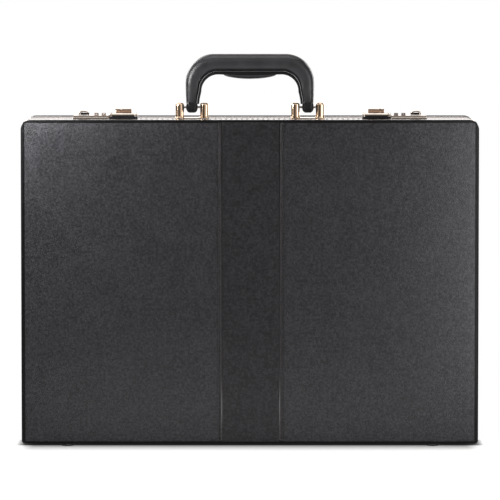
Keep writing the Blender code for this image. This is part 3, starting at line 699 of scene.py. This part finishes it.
def feet():
    for node in ("base_foot_left", "base_foot_right", "lid_foot_left", "lid_foot_right"):
        low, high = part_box(node)
        centre = ((low.x + high.x) / 2, (low.y + high.y) / 2, 0)
        radius = (high.x - low.x) / 2
        profile = [(radius * 0.55, 0.0), (radius * 0.86, 0.0), (radius * 0.95, 0.22 * MM),
                   (radius, 0.75 * MM), (radius, 1.7 * MM), (radius * 0.97, high.z)]
        half = node.split("_")[0]
        piece(node + "_turned", [turned(profile, centre, "Z", 40)], "black_plastic", half, node, sharp=50)


def stays():
    for label, _ in SIDES:
        refined("stay_" + label, 0.22 * MM, "stay_steel")
        refined("stay_rivet_" + label, 0.35 * MM, "lock_brass")
        refined("stay_stud_" + label, 0.35 * MM, "lock_brass")


# ---- handle ----
GRIP_TOP = 65.1 * MM          # heights over the case's top wall, and distances from the middle
GRIP_SEAM = 47.8 * MM
LEG_BOTTOM = 15.0 * MM
OUTER_CORNER = 28.5 * MM
INNER_CORNER = 19.2 * MM
LEG_OUTER = 64.5 * MM
INNER_CORNER_X = 31.8 * MM
LEG_MIDDLE = 58.1 * MM
BOW_STEPS = 44                # from a leg's end to the middle


def bow_line(share):
    """Outer point, inner point and half depth of the bow at a share of the way from leg end to middle."""
    corner_out = (LEG_OUTER - OUTER_CORNER, GRIP_TOP - OUTER_CORNER)
    corner_in = (INNER_CORNER_X, GRIP_SEAM - INNER_CORNER)
    leg_share, corner_share = 0.25, 0.68
    if share < leg_share:
        t = share / leg_share
        outer = (blend(63.8 * MM, LEG_OUTER, sin(t * pi / 2)), blend(LEG_BOTTOM, corner_out[1], t))
        inner = (blend(53.2 * MM, corner_in[0] + INNER_CORNER, t ** 1.6), blend(LEG_BOTTOM, corner_in[1], t))
        return outer, inner, blend(6.4 * MM, 10.5 * MM, t ** 0.8)
    if share < corner_share:
        t = (share - leg_share) / (corner_share - leg_share)
        turn = (cos(t * pi / 2), sin(t * pi / 2))
        outer = tuple(c + OUTER_CORNER * v for c, v in zip(corner_out, turn))
        inner = tuple(c + INNER_CORNER * v for c, v in zip(corner_in, turn))
        return outer, inner, blend(10.5 * MM, 12.3 * MM, t)
    t = (share - corner_share) / (1 - corner_share)
    return ((blend(corner_out[0], 0, t), GRIP_TOP), (blend(corner_in[0], 0, t), GRIP_SEAM), 12.3 * MM)


def bow_frames():
    """Outer point, inner point and half depth of the bow's sections, from the right leg to the left one."""
    frames = []
    lift = Vector((0, HANDLE_Y, TOP))
    for i in range(BOW_STEPS + 1):
        outer, inner, half = bow_line(i / BOW_STEPS)
        frames.append((Vector((outer[0], 0, outer[1])) + lift, Vector((inner[0], 0, inner[1])) + lift, half))
    flip = Vector((-1, 1, 1))
    return frames + [(outer * flip, inner * flip, half) for outer, inner, half in reversed(frames[:-1])]


def handle_shell(frames):
    """Leather shell over the bow: round outside, squarer towards the liner."""
    shell = []
    for outer, inner, half in frames:
        middle, reach = (outer + inner) / 2, (outer - inner) / 2
        ring = []
        for angle in turns(40):
            across, along = cos(angle), sin(angle)
            outside = across > 0
            across = powered(across, 0.92 if outside else 0.55)
            along = powered(along, 0.85 if outside else 0.6)
            ring.append(middle + reach * across + Vector((0, half * along, 0)))
        shell.append(ring)
    piece("handle_shell", [shell], "handle_leather", "handle", "handle_grip", sharp=60)


def handle_welt(frames):
    """The liner along the bow's inner side, thinner towards the legs' ends."""
    liner = []
    for index, (outer, inner, half) in enumerate(frames):
        inward = (inner - outer).normalized()
        from_end = min(index, len(frames) - 1 - index) / BOW_STEPS
        thick = blend(2.2 * MM, 3.3 * MM, min(1.0, from_end * 1.4))
        width = min(9.3 * MM, half - 1.6 * MM)
        near = inner + inward * 0.15 * MM
        ring = []
        for angle in turns(24):
            a, b = powered(cos(angle), 0.5), powered(sin(angle), 0.5)
            ring.append(near + inward * thick * (0.5 + 0.5 * a) + Vector((0, width * b, 0)))
        liner.append(ring)
    piece("handle_welt", [liner], "liner_leather", "handle", "handle_liner", sharp=60)


def finger_pad():
    """Swollen pad under the bow's middle."""
    half_length, top, edge = 26.5 * MM, TOP + GRIP_SEAM - 0.9 * MM, 2.6 * MM
    pad = []
    for k in range(33):
        t = -0.995 + 1.99 * k / 32
        depth = edge + 4.3 * MM * (1 - t ** 2) ** 0.62
        width = 10.2 * MM * (1 - t ** 4) ** 0.5
        base = Vector((t * half_length, HANDLE_Y, top))
        ring = []
        for angle in turns(20):
            down = (0.5 - 0.5 * cos(angle)) ** 0.8
            ring.append(base + Vector((0, width * sin(angle), -depth * down)))
        pad.append(ring)
    piece("finger_pad", [pad], "handle_leather", "handle", sharp=70)


def handle_end(label, side):
    """Hard fitting at a leg's end: a rounded block that narrows downwards, and the arched tongue over it."""
    low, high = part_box("handle_end_" + label)
    middle = side * LEG_MIDDLE
    half, reach = LEG_MIDDLE - min(abs(low.x), abs(high.x)), 5.4 * MM
    heights = (low.z, low.z + 1.0 * MM, low.z + 3.4 * MM, high.z - 1.2 * MM, high.z + 0.6 * MM)
    widths = (half - 2.9 * MM, half - 1.3 * MM, half, half, half - 1.4 * MM)
    contour = [(middle + w, z) for w, z in zip(widths, heights)]
    contour += [(middle - w, z) for w, z in reversed(list(zip(widths, heights)))]
    fitting = prism(contour, "Y", HANDLE_Y - reach, HANDLE_Y + reach)
    bevel(piece("handle_fitting_" + label, [fitting], "black_plastic", "handle", "handle_end_" + label,
                sharp=50), 0.8 * MM, 3, 20)
    radius, foot, reach = 3.7 * MM, TOP + 9 * MM, 6.9 * MM
    arch = [(middle + radius, foot)] + arc((middle, TOP + 15.8 * MM), radius, 0, pi, 14)
    arch.append((middle - radius, foot))
    tongue = prism(arch, "Y", HANDLE_Y - reach, HANDLE_Y + reach)
    bevel(piece("handle_tongue_" + label, [tongue], "black_plastic", "handle", sharp=40), 0.7 * MM, 3)


def handle():
    frames = bow_frames()
    handle_shell(frames)
    handle_welt(frames)
    finger_pad()
    for label, side in SIDES:
        handle_end(label, side)


def handle_brackets():
    """Plates, domed posts with collars, and the pins between the posts."""
    for label, side in SIDES:
        low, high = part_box("handle_bracket_" + label)
        plate = prism(rounded(low.x, high.x, low.y, high.y, (3 * MM,) * 4), "Z", low.z, TOP + 1.2 * MM)
        bevel(piece("bracket_plate_" + label, [plate], "post_brass", "base", "handle_bracket_" + label), 0.35 * MM, 2)
        radius, height, dome = 4.3 * MM, high.z - TOP, 2.3 * MM
        collar = radius + 0.75 * MM
        profile = [(collar, 1.1 * MM), (collar, 1.7 * MM), (radius + 0.35 * MM, 2.1 * MM),
                   (radius, 2.3 * MM), (radius, height - dome)]
        profile += [(radius * cos(a) ** 0.55, height - dome + dome * sin(a))
                    for a in (pi / 2 * i / 9 for i in range(1, 9))]
        profile.append((0.12 * MM, height))
        for number, x in enumerate((45.7 * MM, 70.3 * MM)):
            post = turned(profile, (side * x, HANDLE_Y, TOP), "Z", 48)
            piece("bracket_post_%s_%d" % (label, number), [post], "post_brass", "base",
                  sharp=40)
        refined("handle_pin_" + label, 0.25 * MM, "pin_steel")


# ---- locks ----
def digit(character, centre, turn, height):
    """One generic digit, printed on a dial's rim."""
    curve = bpy.data.curves.new("digit", "FONT")
    curve.body = character
    curve.size = height
    curve.align_x = "CENTER"
    curve.align_y = "CENTER"
    curve.extrude = 0.06 * MM
    curve.resolution_u = 3
    holder = linked("digit", curve)
    bpy.context.view_layer.update()
    mesh = bpy.data.meshes.new_from_object(holder)
    bpy.data.objects.remove(holder)
    mesh.transform(Matrix.Translation(centre) @ Matrix.Rotation(turn, 4, "X"))
    return mesh


def dials(label):
    """Wheels with ten flats between raised ridges, and a digit on each flat."""
    rim = 5.2 * MM
    for number in (1, 2, 3):
        node = "dial_%s_%d" % (label, number)
        body = "dial_body_%s_%d" % (label, number)
        centre = Vector(joint_named("dial_turn_%s_%d" % (label, number))["pos_m"])
        low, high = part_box(node)
        half = (high.x - low.x) / 2
        slope = [(half, 1.35), (half, 4.35), (half - 0.35 * MM, 4.75), (half - 0.7 * MM, 4.9),
                 (half - 0.95 * MM, 5.0)]
        section = [(-along, size) for along, size in slope] + slope[::-1]
        rings = []
        for along, size in section:
            ring = []
            for i, angle in enumerate(turns(60)):
                ridge = size > 4.6 and i % 6 in (0, 5)
                r = rim - 0.02 * MM if ridge else size * MM
                ring.append(centre + Vector((along, r * cos(angle), r * sin(angle))))
            rings.append(ring)
        piece(node + "_wheel", [rings], "dial_plastic", body, node, sharp=45, closed=True)
        printed = bmesh.new()
        for value in range(10):
            turn = radians(36 * value + 3)
            outward = Matrix.Rotation(turn, 3, "X") @ Vector((0, 0, 5.0 * MM))
            printed.from_mesh(digit(str(value), centre + outward, turn, 2.6 * MM))
        finished(node + "_digits", printed, "digit_ink", body, sharp=30)


def lock_plate(label, side):
    """The plate over the dials, with the thin flange that it stands on."""
    refined("lock_plate_" + label, 0.5 * MM, "lock_brass", 3)
    low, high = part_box("lock_plate_" + label)
    outer = max(abs(low.x), abs(high.x))
    step = max(abs(corner.x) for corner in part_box("hasp_plate_" + label)) + 0.5 * MM
    over = 0.55 * MM
    edge = side * (outer + over)
    heights = (TOP + 0.05 * MM, TOP + 1.1 * MM)
    front = block((side * step, edge), (low.y - over, low.y + 1.2 * MM), heights)
    bevel(piece("lock_flange_" + label, [front], "lock_brass", "base"), 0.35 * MM, 3)
    end = block((side * (outer - 0.6 * MM), edge), (low.y - over, high.y), heights)
    bevel(piece("lock_flange_end_" + label, [end], "lock_brass", "base"), 0.25 * MM, 2)


def slide_button(label, side):
    """Dark core under an arched brass thumb piece that reaches down at its outer end."""
    node = "slide_button_" + label
    body = "button_body_" + label
    low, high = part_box(node)
    x_in, x_out = sorted((abs(low.x), abs(high.x)))
    top, foot = high.z, TOP + 3.4 * MM

    def depth(inset):
        return low.y + inset, high.y - inset

    core = [block((side * (x_in + 0.1 * MM), side * (x_out - 1.7 * MM)), depth(0.9 * MM),
                  (foot, top - 2.0 * MM)),
            block((side * x_in, side * (x_in + 2.4 * MM)), depth(0.3 * MM), (foot, top - 1.9 * MM))]
    bevel(piece("button_core_" + label, core, "black_plastic", body, node), 0.25 * MM, 2)

    thick, steps = 1.7 * MM, 14
    start = x_in + 0.9 * MM
    outer_line = []
    inner_line = []
    for i in range(steps + 1):
        t = i / steps
        x = blend(start, x_out - 0.4 * MM, t)
        rise = top - 1.0 * MM * (2 * t - 1) ** 2 - 0.35 * MM * (1 - t) ** 6
        outer_line.append((x, rise))
        inner_line.append((x if i else x + 0.2 * MM, rise - thick * (0.9 if i else 0.6)))
    outer_line += [(x_out, top - 2.0 * MM), (x_out, foot)]
    inner_line[-1:] = [(x_out - 1.5 * MM, top - 2.7 * MM), (x_out - 1.5 * MM, foot)]
    profile = [(side * x, z) for x, z in outer_line + inner_line[::-1]]
    cap = prism(profile, "Y", low.y, high.y)
    bevel(piece("button_cap_" + label, [cap], "lock_brass", body), 0.3 * MM, 2)
    ribs = []
    rib_heights = (top - 0.9 * MM, top - 0.02 * MM)
    for i in range(5):
        x = side * blend(start + 2.4 * MM, x_out - 2.6 * MM, i / 4)
        ribs.append(block((x - 0.28 * MM, x + 0.28 * MM), depth(1.1 * MM), rib_heights))
    bevel(piece("button_ribs_" + label, ribs, "lock_brass", body), 0.12 * MM, 1)


def hasp(label, side):
    """Lever body, its thumb lip with the small notch, and the barrel round the pin."""
    node = "hasp_" + label
    body = "hasp_body_" + label
    low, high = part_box(node)
    pivot = Vector(joint_named("hasp_pivot_" + label)["pos_m"])
    x_mid, reach = abs(pivot.x), 8.15 * MM
    x_in, x_out = x_mid - reach, x_mid + reach
    tail, crest = 16.0, 8.6
    contour = [(-9.6, 2.35), (15.6, 2.35), (tail, 2.8), (tail, 4.6)]
    contour += [(blend(tail, 5.0, t), 4.6 + (crest - 4.6) * sin(t * pi / 2))
                for t in (0.12, 0.3, 0.5, 0.7, 0.85, 1)]
    contour += [(-1.6, crest), (-2.4, crest - 0.5), (-3.2, 5.6), (-4.0, 5.0), (-9.6, 4.9)]
    lever = prism([(y * MM, TOP + z * MM) for y, z in contour], "X", side * x_in, side * x_out)
    bevel(piece("hasp_lever_" + label, [lever], "hasp_brass", body, node), 0.4 * MM, 2, 25)

    notch = x_mid + 4.2 * MM
    plan = [(x_in, -9.0), (notch - 1.9 * MM, -9.0), (notch + 0.6 * MM, -5.2), (notch + 1.1 * MM, -9.0),
            (x_out, -9.0), (x_out, 5.2), (x_in, 5.2)]
    lip = prism([(side * x, y * MM) for x, y in plan], "Z", TOP + 8.25 * MM, high.z)
    bevel(piece("hasp_lip_" + label, [lip], "hasp_brass", body), 0.3 * MM, 2, 40)

    radius, rounding_off = 1.8 * MM, 0.3 * MM
    length = high.x - low.x
    profile = [(radius - rounding_off, 0), (radius, rounding_off), (radius, length - rounding_off),
               (radius - rounding_off, length)]
    knuckle = [turned(profile, (low.x, pivot.y, pivot.z), "X", 28),
               block((low.x, high.x), (pivot.y, -9.5 * MM), (TOP + 2.35 * MM, TOP + 4.9 * MM))]
    piece("hasp_knuckle_" + label, knuckle, "lock_brass", body)


def hasp_plate(label, side):
    """Black plate under the hasp, with a rounded brass ear at each end of the pin."""
    node = "hasp_plate_" + label
    low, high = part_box(node)
    inner, outer = sorted((abs(low.x), abs(high.x)))
    pivot = Vector(joint_named("hasp_pivot_" + label)["pos_m"])
    step_y, narrow = -9.6 * MM, outer - 4.8 * MM
    plan = [(inner, low.y), (outer, low.y), (outer, step_y), (narrow, step_y), (narrow, high.y),
            (inner, high.y)]
    plate = prism([(side * x, y) for x, y in plan], "Z", low.z, TOP + 1.8 * MM)
    bevel(piece("hasp_base_" + label, [plate], "black_plastic", "base", node), 0.3 * MM, 2)
    ear_width, radius, foot = 2.3 * MM, high.z - pivot.z, TOP + 1.6 * MM
    ear = [(pivot.y + radius, foot)] + arc((pivot.y, pivot.z), radius, 0, pi, 12)
    ear.append((pivot.y - radius, foot))
    ears = [prism(ear, "X", side * x, side * (x + ear_width)) for x in (inner, outer - ear_width)]
    bevel(piece("hasp_ears_" + label, ears, "lock_brass", "base"), 0.3 * MM, 2)


def locks():
    for label, side in SIDES:
        lock_plate(label, side)
        dials(label)
        slide_button(label, side)
        hasp(label, side)
        refined("lock_tray_" + label, 0.15 * MM, "black_plastic", 1)
        hasp_plate(label, side)
        refined("striker_" + label, 0.35 * MM, "lock_brass")
        refined("hasp_pin_" + label, 0.25 * MM, "pin_steel")
        keep("dial_shaft_" + label, "pin_steel")


# ---- inside of the lid ----
def organiser():
    """File pocket, and three card pockets with stitched sides, on the lid's inner face."""
    low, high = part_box("organiser")
    back, front = high.y, low.y + 0.05 * MM
    height = high.z - low.z
    across = (low.x, high.x)
    leather_panel("organiser_back", across, (low.z, high.z), 6 * MM, back - 2.2 * MM, -1, 0.7 * MM, 2.2 * MM,
                  0.1 * MM, "pocket_leather", "lid", "organiser")
    leather_panel("file_pocket", across, (low.z, low.z + height * 0.70), 6 * MM, back - 3.9 * MM, -1,
                  0.7 * MM, 1.6 * MM, 0.1 * MM, "pocket_leather", "lid")
    gap = 4 * MM
    width = (high.x - low.x - 4 * gap) / 3
    z_low, z_high = low.z + gap, low.z + height * 0.44
    for index in range(3):
        x0 = low.x + gap + index * (width + gap)
        leather_panel("card_pocket_%d" % index, (x0, x0 + width), (z_low, z_high), 3 * MM, front, -1,
                      0.6 * MM, 1.4 * MM, 0.08 * MM, "pocket_leather", "lid")
        for x in (x0 + 2.5 * MM, x0 + width - 2.5 * MM):
            stitch_row("card_stitches_%d_%d" % (index, round(x / MM)), (x, front, z_low + 3 * MM),
                       (x, front, z_high - 3 * MM), (0, -1, 0), 3.4 * MM, 2.5 * MM, 0.55 * MM, "lid")


# ---- stage ----
# SHADE_REACH and SHADE_START set a painted shadow in the floor's glow, not a cast one: how far it reaches in front of
# the case, and the glow right at the case's front.
SHADE_REACH = 54 * MM        # how far the case's soft shade reaches on the floor in front of it
SHADE_START = 0.27           # the floor's brightness right in front of the case
FLOOR_REACH = 3.0            # metres of floor, forwards and to each side


def floor():
    """Pale floor in front of and under the base; it glows, with a painted shadow in front of the case and painted
    dark under it; it ends under the split, so the lid can open.
    """
    builder = bmesh.new()
    wide, far = FLOOR_REACH, SPLIT - 6 * MM
    corners = ((-wide, -FLOOR_REACH), (wide, -FLOOR_REACH), (wide, far), (-wide, far))
    builder.faces.new([builder.verts.new((x, y, 0)) for x, y in corners])
    mesh = bpy.data.meshes.new("floor")
    builder.to_mesh(mesh)
    builder.free()
    n = material("floor_white")
    x, y, _ = n.split(n.place)
    from_middle = n.math("ABSOLUTE", x)
    from_face = n.math("SUBTRACT", FRONT, y)
    aside = n.math("MULTIPLY", n.math("SUBTRACT", from_middle, HALF_WIDTH - 12 * MM), 3.0)
    aside = n.math("MAXIMUM", aside, 0.0)
    ahead = n.math("MAXIMUM", from_face, 0.0)
    squares = n.total((aside, aside), (ahead, ahead))
    distance = n.math("SQRT", squares)
    # Painted shadow: the floor's glow is dimmest at the case's front and rises to full over SHADE_REACH.
    painted_shadow_glow = n.ramp(distance, 0.0, SHADE_REACH, SHADE_START, 1.0)
    # Painted shade under the case: the glow goes out under the base, except beyond its sides.
    clear_ahead = n.ramp(from_face, -16 * MM, -8 * MM)
    clear_aside = n.ramp(from_middle, HALF_WIDTH, HALF_WIDTH + 8 * MM)
    painted_shadow_glow = n.math("MULTIPLY", painted_shadow_glow, n.math("MAXIMUM", clear_ahead, clear_aside))
    n.finish(n.mix(n.noise(6, 2.0), (0.18, 0.18, 0.18), (0.20, 0.20, 0.20)),
             emission=n.mix(painted_shadow_glow, (0.0, 0.0, 0.0), (1.0, 1.0, 1.0)),
             Roughness=0.9, Specular_IOR_Level=0.0, Emission_Strength=1.0)
    mesh.materials.append(LOOKS["floor_white"])
    linked("floor", mesh)


def area_light(name, place, target, size, power):
    light = bpy.data.lights.new(name, "AREA")
    light.shape = "RECTANGLE"
    light.size, light.size_y = size
    light.energy = power
    holder = linked(name, light)
    holder.location = place
    holder.rotation_euler = (Vector(target) - Vector(place)).to_track_quat("-Z", "Y").to_euler()
    holder.visible_camera = False


# The studio round the case, as upright bands: from and to azimuth in degrees, and brightness. Azimuth 0 is
# behind the camera, positive to the camera's right. Between the bands stand black flags.
BANDS = ((-92, -36, 0.42), (-7, 20, 0.28), (24, 60, 1.1), (60, 106, 0.28))
BACKDROP = (152, 1.9)       # behind the case: from which azimuth on, and brightness
BROW = (48, 0.30, 0.8)      # soft box above the camera: half width in degrees, lower edge, brightness
FLAG_GLOW = 0.02            # what the black flags still give


def world():
    """White to the eye; as a light, tall soft boxes between black flags, and a warm white backdrop."""
    sky = bpy.data.worlds.new("studio")
    bpy.context.scene.world = sky
    n = Nodes(sky, "Generated")

    def smooth(value, low, high, start, end):
        return n.ramp(value, low, high, start, end, "SMOOTHSTEP")

    across, depth, height = n.split(n.place)
    azimuth = n.math("MULTIPLY", n.math("ARCTAN2", across, n.math("MULTIPLY", depth, -1.0)), 57.2958)
    either_side = n.math("ABSOLUTE", azimuth)
    front = FLAG_GLOW
    for start, end, brightness in BANDS:
        rise = smooth(azimuth, start - 2, start + 2, 0.0, brightness)
        fall = smooth(azimuth, end - 2, end + 2, 1.0, 0.0)
        front = n.math("ADD", front, n.math("MULTIPLY", rise, fall))
    front = n.math("MULTIPLY", front, smooth(height, 0.30, 0.80, 1.0, 0.30))
    reach, low_edge, brightness = BROW
    brow = smooth(either_side, reach - 5, reach + 5, brightness, 0.0)
    brow = n.math("MULTIPLY", brow, smooth(height, low_edge, low_edge + 0.08, 0.0, 1.0))
    brow = n.math("MULTIPLY", brow, smooth(height, 0.80, 0.95, 1.0, 0.3))
    edge, brightness = BACKDROP
    behind = smooth(either_side, edge - 6, edge + 6, 0.0, brightness)
    behind = n.math("MULTIPLY", behind, smooth(height, 0.10, 0.55, 1.0, 0.25))
    level = n.total((front, 1.0), (brow, 1.0), (behind, 1.0))
    seen = n.add("ShaderNodeLightPath").outputs["Is Camera Ray"]
    background = n.tree.nodes["Background"].inputs
    n.link(n.mix(seen, (1.0, 0.95, 0.93), (1.0, 1.0, 1.0)), background["Color"])
    strength = n.add("ShaderNodeMix")
    n.link(seen, strength.inputs[0])
    n.link(level, strength.inputs[2])
    strength.inputs[3].default_value = 1.0
    n.link(strength.outputs[0], background["Strength"])


def camera():
    """Straight on from the front, a little above the case's top."""
    distance = 4.0
    field = 0.4988              # width of the view at the face, in metres
    rise = radians(3.74)
    aim = Vector((0.0001, FRONT, 0.1972))
    lens = bpy.data.cameras.new("camera")
    lens.sensor_width = 36
    lens.lens = lens.sensor_width * distance / field
    lens.clip_end = 100
    holder = linked("camera", lens)
    holder.location = aim + Vector((0, -cos(rise), sin(rise))) * distance
    holder.rotation_euler = (pi / 2 - rise, 0, 0)
    bpy.context.scene.camera = holder


def lights():
    """Small soft lights close to the top left corner, the right edge and the foot; the others from afar."""
    area_light("key", (-0.30, -0.16, 0.44), (-0.2, FRONT, 0.28), (0.15, 0.15), 1.4)
    area_light("corner", (-0.27, -0.11, 0.375), (-0.22, FRONT, 0.31), (0.06, 0.06), 0.42)
    area_light("edge", (0.262, -0.15, 0.22), (0.215, FRONT, 0.21), (0.04, 0.36), 0.38)
    area_light("side", (0.34, -0.20, 0.25), (0.1, FRONT, 0.2), (0.08, 0.5), 0.21)
    area_light("low", (0.0, -0.16, 0.03), (0.0, FRONT, 0.03), (0.44, 0.03), 0.10)
    area_light("overhead", (0.0, 0.05, 1.4), (0, 0, TOP), (1.2, 0.5), 5)
    area_light("back_left", (-0.8, 1.3, 0.9), (0, BACK, 0.2), (0.8, 0.8), 11)
    area_light("back_right", (0.9, 1.2, 0.6), (0, BACK, 0.15), (0.6, 0.9), 7)


# ---- everything ----
for half, face_y, inward in (("base", FRONT, 1), ("lid", BACK, -1)):
    wall_cover(half, face_y, inward)
    face(half, face_y, inward)
    trims(half)
rear_piping()
top_stitches()
hinge()
feet()
stays()
handle()
handle_brackets()
locks()
organiser()
floor()
world()
lights()
camera()
bpy.context.scene.view_settings.view_transform = "Standard"
